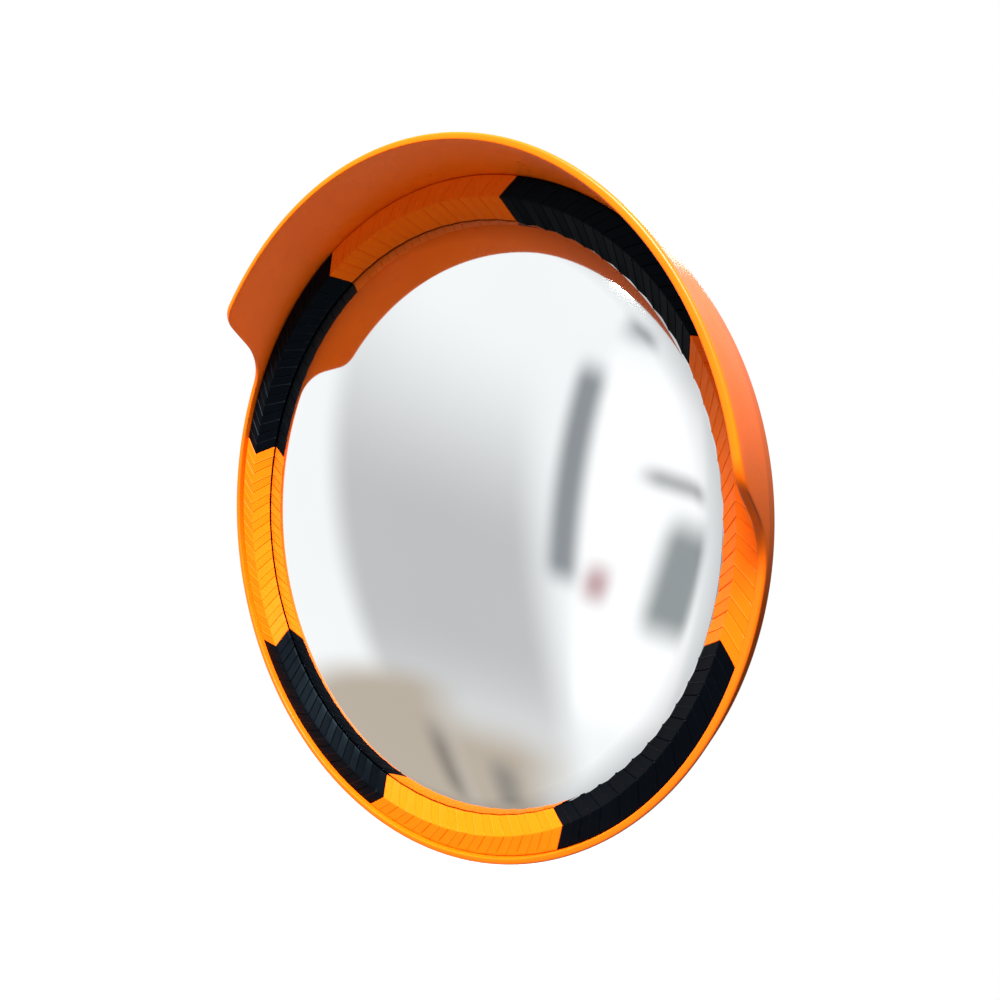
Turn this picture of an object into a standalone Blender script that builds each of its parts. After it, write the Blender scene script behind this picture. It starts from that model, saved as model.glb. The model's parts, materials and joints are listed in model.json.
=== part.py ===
"""Traffic convex mirror on a two-axis pole bracket.

World frame: +Z up, the mirror looks along -Y, and the pole's axis is the Z axis
through the origin, level with the middle of the mirror.

The head (housing, mirror and edge segments) is described by a radius from the
mirror's own axis, an angle around it and a depth f.  f is zero in the plane
where the edge ring meets the mirror, and grows towards the viewer.
"""

import math

import bmesh
import bpy

MM = 0.001

# --- driving dimensions, in millimetres and degrees -------------------------

GAP = 0.3                     # space left between touching pieces

MIRROR_R = 300.0              # visible mirror, 600 mm across
DOME_R = 900.0                # radius of curvature of the mirror
DOME_EDGE_R = 303.5           # where the dome turns into its flange
FLANGE_R = 320.0
MIRROR_T = 2.0
FLANGE_F = -1.6               # front face of the mirror's flange

GASKET_T = 1.8
GASKET_IN_R = 307.0
GASKET_OUT_R = 319.0

LIP_IN_R = 336.5              # front lip of the housing
LIP_OUT_R = 343.3
LIP_F = 21.6
LIP_ROUND = 1.5
REAR_EDGE_R = 338.0           # side wall, at its rear edge
REAR_EDGE_F = -9.2
WALL_T = 3.2
PAN_NECK_R = 309.0            # the back pan hangs from the ledge here
PAN_SHOULDER_R = 298.0
PAN_SHOULDER_F = -24.0
HUB_R = 110.0                 # flat middle of the pan, where the bracket sits
HUB_F = -50.0

HOOD_F = 84.3                 # front edge of the sun hood
HOOD_FLARE = 0.115            # widening per millimetre of depth
HOOD_HALF_ANGLE = 65.8        # where the hood's flank would meet its front edge
HOOD_FLANK = 56.0             # steepness of the flank
HOOD_CORNER_R = 32.0
HOOD_FOOT_R = 58.0
FLANK_FROM = 62.0             # the flanks lie between these angles from the top
FLANK_TO = 79.0

RIDGE_R = 316.8               # edge ring: sloped inner facet, flat outer facet
RIDGE_F = 15.7
RING_IN_R = 300.5
RING_OUT_R = 336.0
RING_T = 2.5
SEGMENTS = 8
FIRST_JOINT_DEG = 92.3        # one of the zigzag joints between the segments
CHEVRON_IN_DEG = -2.65        # how far the zigzag falls back from its point
CHEVRON_OUT_DEG = -3.0
BOSS_R = 4.3
BOSS_AT_R = 327.0

SCREW_R = 1.6                 # screws that hold the segments from behind
SCREW_HEAD_R = 4.0
SCREW_HEAD_H = 2.4
SCREW_LENGTH = 16.0

PLATE_T = 5.0                 # steel bracket
STIFFENER_R = 95.0
STIFFENER_T = 2.8
HUB_BOLT_X = 46.0
HUB_BOLT_Z = 42.0
BASE_HALF = 60.0
EAR_IN_X = 30.4
EAR_ROOT_HALF = 38.0
EAR_END_R = 20.0
TILT_AXIS_Y = -128.0
TILT_TO_BASE = 45.0           # from the tilt axis to the base plate's rear face

PAN_AXIS_Y = -80.0
BARREL_HALF_X = 30.0
BARREL_R = 20.0
PAN_BARREL_R = 22.0
PAN_BARREL_HALF_Z = 19.6
NECK_HALF = 16.0
LUG_IN_Z = 20.0
LUG_T = 6.0
LUG_R = 25.0

CLAMP_IN_R = 38.5             # for a 76.3 mm pole, which isn't part of the mirror
CLAMP_T = 5.0
CLAMP_HALF_Z = 45.0
CLAMP_SPLIT = 3.0             # half the gap between the two clamp halves
FLANGE_END_X = 72.0
FLANGE_T = 5.5
CLAMP_BOLT_X = 58.0
CLAMP_BOLT_Z = 28.0

M8 = {"r": 4.0, "across": 13.0, "head": 5.3, "nut": 6.5, "washer_r": 8.0, "washer_t": 1.6}
M12 = {"r": 6.0, "across": 18.0, "head": 7.5, "nut": 10.0, "washer_r": 12.0, "washer_t": 2.2}

# y = FACE_Y - f takes a depth on the head to the world
FACE_Y = TILT_AXIS_Y - TILT_TO_BASE + (HUB_F - GAP - PLATE_T)

ORANGE = ((1.0, 0.30, 0.01), 0.30, 0.0)
BLACK = ((0.004, 0.005, 0.008), 0.35, 0.0)
SILVER = ((0.90, 0.91, 0.92), 0.03, 1.0)
RUBBER = ((0.02, 0.02, 0.02), 0.80, 0.0)
ZINC = ((0.62, 0.64, 0.66), 0.38, 1.0)
STEEL_PAINT = ((0.33, 0.35, 0.36), 0.45, 0.6)
CASTING = ((0.30, 0.31, 0.32), 0.55, 0.8)

ROUND_SIDES = 12
MIRROR_SIDES = 48
HEX_STEPS = 12                # stations around a hexagon, two to a flat


# --- scene and object helpers ------------------------------------------------

def clear_scene():
    for item in list(bpy.data.objects):
        bpy.data.objects.remove(item, do_unlink=True)


def make_material(name, finish):
    colour, roughness, metallic = finish
    material = bpy.data.materials.new(name)
    material.use_nodes = True
    shader = material.node_tree.nodes["Principled BSDF"]
    shader.inputs["Base Color"].default_value = (*colour, 1.0)
    shader.inputs["Roughness"].default_value = roughness
    shader.inputs["Metallic"].default_value = metallic
    return material


def make_object(name, verts, faces, finish, smooth_deg=30.0):
    """A named closed mesh; verts are in millimetres."""
    mesh = bpy.data.meshes.new(name)
    mesh.from_pydata([tuple(c * MM for c in v) for v in verts], [], faces)
    builder = bmesh.new()
    builder.from_mesh(mesh)
    bmesh.ops.recalc_face_normals(builder, faces=builder.faces)
    builder.to_mesh(mesh)
    builder.free()
    mesh.shade_smooth()
    mesh.set_sharp_from_angle(angle=math.radians(smooth_deg))
    item = bpy.data.objects.new(name, mesh)
    if finish:
        mesh.materials.append(make_material(name + "_finish", finish))
    bpy.context.scene.collection.objects.link(item)
    return item


def spun(name, rings, sides, finish, closed=False):
    """Rings of (radius, height) around local Z.

    A radius is a number or a function of the angle.  An open outline ends on
    the axis or in flat caps; a closed one comes back to its first ring.
    """
    verts = []
    rows = []
    for radius, height in rings:
        if radius == 0.0:
            rows.append([len(verts)])
            verts.append((0.0, 0.0, height))
            continue
        row = []
        for k in range(sides):
            angle = 2.0 * math.pi * k / sides
            r = radius(angle) if callable(radius) else radius
            row.append(len(verts))
            verts.append((r * math.cos(angle), r * math.sin(angle), height))
        rows.append(row)
    faces = []
    pairs = list(zip(rows, rows[1:]))
    if closed:
        pairs.append((rows[-1], rows[0]))
    for low, high in pairs:
        for k in range(sides):
            n = (k + 1) % sides
            if len(low) == 1:
                faces.append((low[0], high[n], high[k]))
            elif len(high) == 1:
                faces.append((low[k], low[n], high[0]))
            else:
                faces.append((low[k], low[n], high[n], high[k]))
    if not closed:
        for row in (rows[0], rows[-1]):
            if len(row) > 1:
                faces.append(tuple(row))
    return make_object(name, verts, faces, finish)


def slab(name, outline, low, high, finish):
    """A flat outline in the local XY plane, given thickness along local Z."""
    n = len(outline)
    verts = [(x, y, low) for x, y in outline] + [(x, y, high) for x, y in outline]
    faces = [tuple(range(n)), tuple(range(n, 2 * n))]
    faces += [(k, (k + 1) % n, n + (k + 1) % n, n + k) for k in range(n)]
    return make_object(name, verts, faces, finish)


def box_outline(x0, x1, y0, y1):
    return [(x0, y0), (x1, y0), (x1, y1), (x0, y1)]


def arc(cx, cy, r, start_deg, end_deg, steps):
    points = []
    for k in range(steps + 1):
        a = math.radians(start_deg + (end_deg - start_deg) * k / steps)
        points.append((cx + r * math.cos(a), cy + r * math.sin(a)))
    return points


def rounded_square(half, corner, steps=4):
    c = half - corner
    points = []
    for cx, cy, start in ((c, c, 0), (-c, c, 90), (-c, -c, 180), (c, -c, 270)):
        points += arc(cx, cy, corner, start, start + 90, steps)
    return points


def place(item, x, y, z, along="Z"):
    """Puts local Z along a world axis; 'Z', '-Z', 'X', 'Y' or '-Y'."""
    turns = {
        "Z": (0.0, 0.0, 0.0),
        "-Z": (math.pi, 0.0, 0.0),
        "X": (0.0, math.pi / 2.0, 0.0),
        "Y": (-math.pi / 2.0, 0.0, 0.0),
        "-Y": (math.pi / 2.0, 0.0, 0.0),
    }
    item.location = (x * MM, y * MM, z * MM)
    item.rotation_euler = turns[along]
    return item


def combine(item, tool, operation):
    """Adds or cuts a hidden tool shape."""
    tool.hide_render = True
    tool.display_type = "WIRE"
    step = item.modifiers.new(tool.name, "BOOLEAN")
    step.operation = operation
    step.object = tool


def rod(name, r, low, high, sides=ROUND_SIDES):
    return spun(name, [(r, low), (r, high)], sides, None)


# --- shared shapes ------------------------------------------------------------

def hexagon(across):
    """Radius of a hexagon as a function of the angle."""
    def radius(angle):
        sector = math.radians(60.0)
        return across / 2.0 / math.cos((angle % sector) - sector / 2.0)
    return radius


def hex_bolt(name, size, length):
    """Head above the local origin, shank below it."""
    outline = hexagon(size["across"])
    round_top = size["across"] * 0.47
    rings = [
        (round_top, size["head"]),
        (outline, size["head"] * 0.85),
        (outline, 0.0),
        (size["r"], 0.0),
        (size["r"], 1.0 - length),
        (size["r"] - 1.0, -length),
    ]
    return spun(name, rings, HEX_STEPS, ZINC)


def hex_nut(name, size):
    """Stands on the local origin, with a hole GAP wider than the shank."""
    hole = size["r"] + GAP
    outline = hexagon(size["across"])
    round_end = size["across"] * 0.47
    height = size["nut"]
    rings = [
        (hole, 0.0),
        (round_end, 0.0),
        (outline, height * 0.12),
        (outline, height * 0.88),
        (round_end, height),
        (hole, height),
    ]
    return spun(name, rings, HEX_STEPS, ZINC, closed=True)


def washer(name, size):
    hole = size["r"] + GAP
    outer = size["washer_r"]
    thick = size["washer_t"]
    rings = [(hole, 0.0), (outer, 0.0), (outer, thick), (hole, thick)]
    return spun(name, rings, ROUND_SIDES, ZINC, closed=True)


# --- the head -----------------------------------------------------------------

def head_point(r, angle_deg, f):
    """A point of the head in the world, in millimetres."""
    a = math.radians(angle_deg)
    return (r * math.cos(a), FACE_Y - f, r * math.sin(a))


def swept(name, stations, outline_at, finish, around=True):
    """Joins the outline at each station; the outline is a closed loop.

    outline_at(station) gives (radius, angle, f) points.  Around the whole
    circle the last station joins the first; otherwise both ends are capped.
    """
    loops = [outline_at(s) for s in stations]
    n = len(loops[0])
    verts = [head_point(*p) for loop in loops for p in loop]
    faces = []
    last = len(loops) if around else len(loops) - 1
    for s in range(last):
        t = (s + 1) % len(loops)
        for k in range(n):
            m = (k + 1) % n
            faces.append((s * n + k, s * n + m, t * n + m, t * n + k))
    if not around:
        faces.append(tuple(range(n)))
        faces.append(tuple((len(loops) - 1) * n + k for k in range(n)))
    return make_object(name, verts, faces, finish)


def hood_edge_f(angle_deg):
    """Depth of the housing's front edge: the hood, its flank and the lip.

    The edge is drawn unrolled, as a distance s along the rim from the top.
    Two arcs join the hood's straight front edge, the sloping flank and the lip.
    """
    away = abs((angle_deg - 90.0 + 180.0) % 360.0 - 180.0)
    rim_r = (LIP_OUT_R + LIP_OUT_R + (HOOD_F - LIP_F) * HOOD_FLARE) / 2.0
    s = rim_r * math.radians(away)
    slope = math.radians(HOOD_FLANK)
    corner = rim_r * math.radians(HOOD_HALF_ANGLE)
    foot = corner + (HOOD_F - LIP_F) / math.tan(slope)
    corner_start = corner - HOOD_CORNER_R * math.tan(slope / 2.0)
    corner_end = corner_start + HOOD_CORNER_R * math.sin(slope)
    foot_end = foot + HOOD_FOOT_R * math.tan(slope / 2.0)
    foot_start = foot_end - HOOD_FOOT_R * math.sin(slope)
    if s <= corner_start:
        return HOOD_F
    if s < corner_end:
        run = s - corner_start
        return HOOD_F - HOOD_CORNER_R + math.sqrt(HOOD_CORNER_R ** 2 - run ** 2)
    if s < foot_start:
        return HOOD_F - (s - corner) * math.tan(slope)
    if s < foot_end:
        run = foot_end - s
        return LIP_F + HOOD_FOOT_R - math.sqrt(HOOD_FOOT_R ** 2 - run ** 2)
    return LIP_F


def spread(start, end, count):
    """Evenly spaced values from start up to, not including, end."""
    return [start + (end - start) * k / count for k in range(count)]


def housing_stations():
    """Angles around the rim, closer together along the hood's two flanks."""
    half = spread(0.0, FLANK_FROM, 14) + spread(FLANK_FROM, FLANK_TO, 10)
    half += spread(FLANK_TO, 180.0, 22)
    right = [90.0 - a for a in half]
    left = [90.0 + a for a in half[1:]] + [270.0]
    return sorted(a % 360.0 for a in right + left)


def build_housing():
    """One moulded shell: back pan, rim ledge, side wall, lip and sun hood."""
    ledge_top = REAR_EDGE_F + WALL_T
    inner_hub = HUB_F + WALL_T

    def outline(angle):
        edge = hood_edge_f(angle)
        flare = (edge - LIP_F) * HOOD_FLARE
        inner, outer = LIP_IN_R + flare, LIP_OUT_R + flare
        low_f = min(edge - 2.0 * LIP_ROUND, LIP_F - 2.0 * LIP_ROUND)
        points = [
            (HUB_R, inner_hub),
            (PAN_SHOULDER_R - WALL_T, PAN_SHOULDER_F + WALL_T),
            (PAN_NECK_R - WALL_T, ledge_top),
            (LIP_IN_R, ledge_top),
            (LIP_IN_R, RIDGE_F),
            (inner, edge - LIP_ROUND * 0.5),
            (inner + LIP_ROUND * 0.5, edge),
            (outer - LIP_ROUND, edge - LIP_ROUND * 0.3),
            (outer, edge - LIP_ROUND * 1.3),
            (LIP_OUT_R, low_f),
            (REAR_EDGE_R, REAR_EDGE_F + LIP_ROUND),
            (REAR_EDGE_R - LIP_ROUND, REAR_EDGE_F),
            (PAN_NECK_R, REAR_EDGE_F),
            (PAN_SHOULDER_R, PAN_SHOULDER_F),
            (HUB_R, HUB_F),
        ]
        return [(r, angle, f) for r, f in points]

    stations = housing_stations()
    loops = [outline(a) for a in stations]
    n = len(loops[0])
    count = len(loops)
    verts = [head_point(*p) for loop in loops for p in loop]
    faces = []
    for s in range(count):
        t = (s + 1) % count
        for k in range(n - 1):
            faces.append((s * n + k, s * n + k + 1, t * n + k + 1, t * n + k))
    faces.append(tuple(s * n for s in range(count)))
    faces.append(tuple(s * n + n - 1 for s in range(count)))
    housing = make_object("housing_shell", verts, faces, ORANGE)

    for x in (-HUB_BOLT_X, HUB_BOLT_X):
        for z in (-HUB_BOLT_Z, HUB_BOLT_Z):
            hole = rod("hub_hole_%d_%d" % (x, z), M8["r"] + GAP, -8.0, 8.0)
            place(hole, x, FACE_Y - HUB_F, z, "Y")
            combine(housing, hole, "DIFFERENCE")
    for k in range(SEGMENTS):
        hole = rod("ledge_hole_%d" % (k + 1), SCREW_R + GAP, -6.0, 6.0)
        place(hole, *boss_place(k, REAR_EDGE_F), "Y")
        combine(housing, hole, "DIFFERENCE")


def build_mirror():
    """A thin domed mirror with a flat flange that the ring hides."""
    drop = math.sqrt(DOME_R ** 2 - MIRROR_R ** 2)
    rings = 6
    front = [(0.0, DOME_R - drop)]
    for k in range(1, rings + 1):
        r = DOME_EDGE_R * k / rings
        front.append((r, math.sqrt(DOME_R ** 2 - r ** 2) - drop))
    front += [(DOME_EDGE_R + 1.5, FLANGE_F), (FLANGE_R, FLANGE_F)]
    back = [(r, f - MIRROR_T) for r, f in reversed(front)]
    mirror = spun("mirror_dome", front + back, MIRROR_SIDES, SILVER)
    place(mirror, 0.0, FACE_Y, 0.0, "-Y")


def build_gasket():
    base = REAR_EDGE_F + WALL_T + GAP
    rings = [
        (GASKET_IN_R, base),
        (GASKET_OUT_R, base),
        (GASKET_OUT_R, base + GASKET_T),
        (GASKET_IN_R, base + GASKET_T),
    ]
    gasket = spun("mirror_gasket", rings, MIRROR_SIDES, RUBBER, closed=True)
    place(gasket, 0.0, FACE_Y, 0.0, "-Y")


def chevron_shift(r):
    """Degrees by which the zigzag falls back at a radius."""
    if r <= RIDGE_R:
        return CHEVRON_IN_DEG * (RIDGE_R - r) / (RIDGE_R - RING_IN_R)
    return CHEVRON_OUT_DEG * (r - RIDGE_R) / (RING_OUT_R - RIDGE_R)


def boss_place(index, f):
    """World place of a segment's screw boss at depth f."""
    step = 360.0 / SEGMENTS
    angle = FIRST_JOINT_DEG + (index + 0.5) * step + chevron_shift(BOSS_AT_R)
    return head_point(BOSS_AT_R, angle, f)


def build_segments():
    """Eight hollow edge segments with zigzag ends and a screw boss each."""
    leg = REAR_EDGE_F + WALL_T + GAP
    profile = [
        (RING_IN_R, 0.5),
        (RING_IN_R, 1.4),
        (RIDGE_R, RIDGE_F),
        (RING_OUT_R, RIDGE_F),
        (RING_OUT_R, leg),
        (RING_OUT_R - RING_T, leg),
        (RING_OUT_R - RING_T, RIDGE_F - RING_T),
        (RIDGE_R + 0.45 * RING_T, RIDGE_F - RING_T),
        (RING_IN_R + 1.25 * RING_T, 0.5),
    ]
    step = 360.0 / SEGMENTS
    parts = 10
    trim = math.degrees(GAP / RIDGE_R)
    for k in range(SEGMENTS):
        start = FIRST_JOINT_DEG + k * step + trim
        end = FIRST_JOINT_DEG + (k + 1) * step - trim
        stations = [start + (end - start) * i / parts for i in range(parts + 1)]
        finish = ORANGE if k % 2 == 0 else BLACK
        segment = swept(
            "edge_segment_%d" % (k + 1), stations,
            lambda a: [(r, a + chevron_shift(r), f) for r, f in profile],
            finish, around=False)
        rings = [
            (0.0, RIDGE_F - 0.5 * RING_T),
            (BOSS_R, RIDGE_F - 0.5 * RING_T),
            (BOSS_R, leg),
            (SCREW_R + GAP, leg),
            (SCREW_R + GAP, 10.0),
            (0.0, 10.0),
        ]
        boss = spun("edge_boss_%d" % (k + 1), rings, ROUND_SIDES, None)
        place(boss, *boss_place(k, 0.0), "-Y")
        combine(segment, boss, "UNION")

        head_f = REAR_EDGE_F - GAP
        rings = [
            (0.0, -SCREW_HEAD_H),
            (0.7 * SCREW_HEAD_R, -SCREW_HEAD_H),
            (SCREW_HEAD_R, -0.4 * SCREW_HEAD_H),
            (SCREW_HEAD_R, 0.0),
            (SCREW_R, 0.0),
            (SCREW_R, SCREW_LENGTH - 2.0),
            (0.0, SCREW_LENGTH),
        ]
        screw = spun("edge_screw_%d" % (k + 1), rings, ROUND_SIDES, ZINC)
        place(screw, *boss_place(k, head_f), "-Y")


def build_stiffener():
    """Steel disc inside the pan that spreads the bracket's load."""
    low = HUB_F + WALL_T + GAP
    bore = 28.0
    rings = [
        (bore, low),
        (STIFFENER_R, low),
        (STIFFENER_R, low + STIFFENER_T),
        (bore, low + STIFFENER_T),
    ]
    disc = spun("hub_stiffener", rings, 2 * ROUND_SIDES, ZINC, closed=True)
    place(disc, 0.0, FACE_Y, 0.0, "-Y")
    for x in (-HUB_BOLT_X, HUB_BOLT_X):
        for z in (-HUB_BOLT_Z, HUB_BOLT_Z):
            hole = rod("stiffener_hole_%d_%d" % (x, z), M8["r"] + GAP, -6.0, 6.0)
            place(hole, x, FACE_Y - low, z, "Y")
            combine(disc, hole, "DIFFERENCE")


def build_tilt_bracket():
    """Base plate bolted to the hub, with two ears that carry the tilt bolt."""
    front_y = FACE_Y - (HUB_F - GAP)
    rear_y = front_y + PLATE_T
    plate = slab("tilt_bracket", rounded_square(BASE_HALF, 10.0), 0.0, PLATE_T, STEEL_PAINT)
    place(plate, 0.0, rear_y, 0.0, "-Y")
    reach = TILT_AXIS_Y - rear_y
    for side in (-1, 1):
        # local X points back from the plate, local Y is height
        outline = [(-1.0, -EAR_ROOT_HALF), (8.0, -EAR_ROOT_HALF)]
        outline += arc(reach, 0.0, EAR_END_R, -75.0, 75.0, 10)
        outline += [(8.0, EAR_ROOT_HALF), (-1.0, EAR_ROOT_HALF)]
        low = EAR_IN_X if side > 0 else -EAR_IN_X - PLATE_T
        verts = [(x, rear_y + back, z) for x in (low, low + PLATE_T) for back, z in outline]
        n = len(outline)
        faces = [tuple(range(n)), tuple(range(n, 2 * n))]
        faces += [(k, (k + 1) % n, n + (k + 1) % n, n + k) for k in range(n)]
        ear = make_object("ear_%s" % ("right" if side > 0 else "left"), verts, faces, None)
        combine(plate, ear, "UNION")
    cross = rod("tilt_hole", M12["r"] + GAP, -60.0, 60.0)
    place(cross, 0.0, TILT_AXIS_Y, 0.0, "X")
    combine(plate, cross, "DIFFERENCE")
    for x in (-HUB_BOLT_X, HUB_BOLT_X):
        for z in (-HUB_BOLT_Z, HUB_BOLT_Z):
            hole = rod("base_hole_%d_%d" % (x, z), M8["r"] + GAP, -8.0, 8.0)
            place(hole, x, rear_y, z, "Y")
            combine(plate, hole, "DIFFERENCE")
    return rear_y


def build_hub_fasteners(rear_y):
    """Four bolts from inside the pan, with washers and nuts on the bracket."""
    head_y = FACE_Y - (HUB_F + WALL_T + GAP + STIFFENER_T + GAP)
    nut_y = rear_y + GAP + M8["washer_t"] + GAP
    length = nut_y + M8["nut"] + 3.0 - head_y
    corners = [(-1, 1), (1, 1), (1, -1), (-1, -1)]
    for k, (sx, sz) in enumerate(corners, start=1):
        x, z = sx * HUB_BOLT_X, sz * HUB_BOLT_Z
        place(hex_bolt("hub_bolt_%d" % k, M8, length), x, head_y, z, "-Y")
        place(washer("hub_washer_%d" % k, M8), x, rear_y + GAP, z, "Y")
        place(hex_nut("hub_nut_%d" % k, M8), x, nut_y, z, "Y")


def build_tilt_bolt():
    face = EAR_IN_X + PLATE_T + GAP
    head = face + M12["washer_t"] + GAP
    bolt = hex_bolt("tilt_bolt", M12, 2.0 * head + M12["nut"] + 5.0)
    place(bolt, -head, TILT_AXIS_Y, 0.0, "X")
    bolt.rotation_euler = (0.0, -math.pi / 2.0, 0.0)
    place(hex_nut("tilt_nut", M12), head, TILT_AXIS_Y, 0.0, "X")
    place(washer("tilt_washer_right", M12), face, TILT_AXIS_Y, 0.0, "X")
    place(washer("tilt_washer_left", M12), -face - M12["washer_t"], TILT_AXIS_Y, 0.0, "X")


# --- knuckle and pole clamp -----------------------------------------------------

def build_knuckle():
    """Cast link: a cross barrel for the tilt bolt, an upright one for the pan bolt."""
    rings = [(PAN_BARREL_R, -PAN_BARREL_HALF_Z), (PAN_BARREL_R, PAN_BARREL_HALF_Z)]
    knuckle = spun("swivel_knuckle", rings, 24, CASTING)
    place(knuckle, 0.0, PAN_AXIS_Y, 0.0)
    neck = slab("knuckle_neck", box_outline(-NECK_HALF, NECK_HALF, TILT_AXIS_Y, PAN_AXIS_Y),
                -NECK_HALF, NECK_HALF, None)
    combine(knuckle, neck, "UNION")
    cross = rod("knuckle_barrel", BARREL_R, -BARREL_HALF_X, BARREL_HALF_X, 24)
    place(cross, 0.0, TILT_AXIS_Y, 0.0, "X")
    combine(knuckle, cross, "UNION")
    tilt_bore = rod("knuckle_tilt_bore", M12["r"] + GAP, -40.0, 40.0)
    place(tilt_bore, 0.0, TILT_AXIS_Y, 0.0, "X")
    combine(knuckle, tilt_bore, "DIFFERENCE")
    pan_bore = rod("knuckle_pan_bore", M12["r"] + GAP, -40.0, 40.0)
    place(pan_bore, 0.0, PAN_AXIS_Y, 0.0)
    combine(knuckle, pan_bore, "DIFFERENCE")


def clamp_outline():
    """Half of the pole clamp seen from above, on the -Y side of the pole."""
    outer = CLAMP_IN_R + CLAMP_T
    flange_y = -CLAMP_SPLIT - FLANGE_T
    in_start = math.degrees(math.asin(CLAMP_SPLIT / CLAMP_IN_R))
    out_start = math.degrees(math.asin(-flange_y / outer))
    inside = arc(0.0, 0.0, CLAMP_IN_R, -in_start, -180.0 + in_start, 20)
    outside = arc(0.0, 0.0, outer, -180.0 + out_start, -out_start, 18)
    left = [(-FLANGE_END_X, -CLAMP_SPLIT), (-FLANGE_END_X, flange_y)]
    right = [(FLANGE_END_X, flange_y), (FLANGE_END_X, -CLAMP_SPLIT)]
    return inside + left + outside + right


def cut_clamp_holes(half, label):
    for x in (-CLAMP_BOLT_X, CLAMP_BOLT_X):
        for z in (-CLAMP_BOLT_Z, CLAMP_BOLT_Z):
            hole = rod("%s_hole_%d_%d" % (label, x, z), M8["r"] + GAP, -20.0, 20.0)
            place(hole, x, 0.0, z, "Y")
            combine(half, hole, "DIFFERENCE")


def build_clamp():
    """Front half with two lugs for the pan bolt, rear half, bolts and nuts."""
    outline = clamp_outline()
    saddle = slab("clamp_saddle", outline, -CLAMP_HALF_Z, CLAMP_HALF_Z, STEEL_PAINT)
    root_y = -(CLAMP_IN_R + 0.5 * CLAMP_T)
    lug = [(LUG_R, root_y + 8.0), (LUG_R, PAN_AXIS_Y)]
    lug += arc(0.0, PAN_AXIS_Y, LUG_R, 0.0, -180.0, 12)[1:-1]
    lug += [(-LUG_R, PAN_AXIS_Y), (-LUG_R, root_y + 8.0)]
    # the lugs end in the middle of the saddle's wall, so they follow its curve
    back = arc(0.0, 0.0, -root_y, -180.0 + 52.0, -52.0, 8)
    lug = [p for p in lug if p[1] < root_y + 7.0] + back
    for name, low in (("lug_top", LUG_IN_Z), ("lug_bottom", -LUG_IN_Z - LUG_T)):
        combine(saddle, slab(name, lug, low, low + LUG_T, None), "UNION")
    pan_hole = rod("lug_hole", M12["r"] + GAP, -40.0, 40.0)
    place(pan_hole, 0.0, PAN_AXIS_Y, 0.0)
    combine(saddle, pan_hole, "DIFFERENCE")
    cut_clamp_holes(saddle, "saddle")

    strap = slab("clamp_strap", outline, -CLAMP_HALF_Z, CLAMP_HALF_Z, STEEL_PAINT)
    strap.rotation_euler = (0.0, 0.0, math.pi)
    cut_clamp_holes(strap, "strap")

    face = CLAMP_SPLIT + FLANGE_T + GAP
    corners = [(-1, 1), (1, 1), (1, -1), (-1, -1)]
    for k, (sx, sz) in enumerate(corners, start=1):
        x, z = sx * CLAMP_BOLT_X, sz * CLAMP_BOLT_Z
        place(hex_bolt("clamp_bolt_%d" % k, M8, 2.0 * face + M8["nut"] + 6.0), x, -face, z, "-Y")
        place(hex_nut("clamp_nut_%d" % k, M8), x, face, z, "Y")


def build_pan_bolt():
    face = LUG_IN_Z + LUG_T + GAP
    head = face + M12["washer_t"] + GAP
    length = 2.0 * head + M12["nut"] + 5.0
    place(hex_bolt("pan_bolt", M12, length), 0.0, PAN_AXIS_Y, head)
    place(hex_nut("pan_nut", M12), 0.0, PAN_AXIS_Y, -head, "-Z")
    place(washer("pan_washer_top", M12), 0.0, PAN_AXIS_Y, face)
    place(washer("pan_washer_bottom", M12), 0.0, PAN_AXIS_Y, -face, "-Z")


def parent_to_axes():
    """Hangs the head on the tilt axis and the knuckle on the pan axis."""
    pan = bpy.data.objects.new("pan_axis", None)
    pan.location = (0.0, PAN_AXIS_Y * MM, 0.0)
    tilt = bpy.data.objects.new("tilt_axis", None)
    tilt.location = (0.0, (TILT_AXIS_Y - PAN_AXIS_Y) * MM, 0.0)
    tilt.parent = pan
    for empty in (pan, tilt):
        bpy.context.scene.collection.objects.link(empty)
    bpy.context.view_layer.update()
    fixed = ("clamp_", "pan_", "lug_", "saddle_", "strap_")
    for item in list(bpy.context.scene.objects):
        if item.type != "MESH" or item.name.startswith(fixed):
            continue
        holder = pan if "knuckle" in item.name else tilt
        world = item.matrix_world.copy()
        item.parent = holder
        item.matrix_parent_inverse = holder.matrix_world.inverted()
        item.matrix_world = world


def main():
    clear_scene()
    build_housing()
    build_mirror()
    build_gasket()
    build_segments()
    build_stiffener()
    rear_y = build_tilt_bracket()
    build_hub_fasteners(rear_y)
    build_tilt_bolt()
    build_knuckle()
    build_clamp()
    build_pan_bolt()
    parent_to_axes()


main()
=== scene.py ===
"""Visual model of a traffic convex mirror on a pole bracket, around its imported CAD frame.

World frame: +Z up, the mirror looks along -Y, the pole's axis is the Z axis.  The
head is described by a radius from the mirror's axis, an angle around it (0 at +X,
90 at the top) and a depth f, which is zero in the plane where the ring meets the
mirror and grows towards the viewer.  Lengths below are in millimetres.
"""

import json
import math

import bmesh
import bpy
import numpy as np
from mathutils import Matrix, Vector


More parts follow.
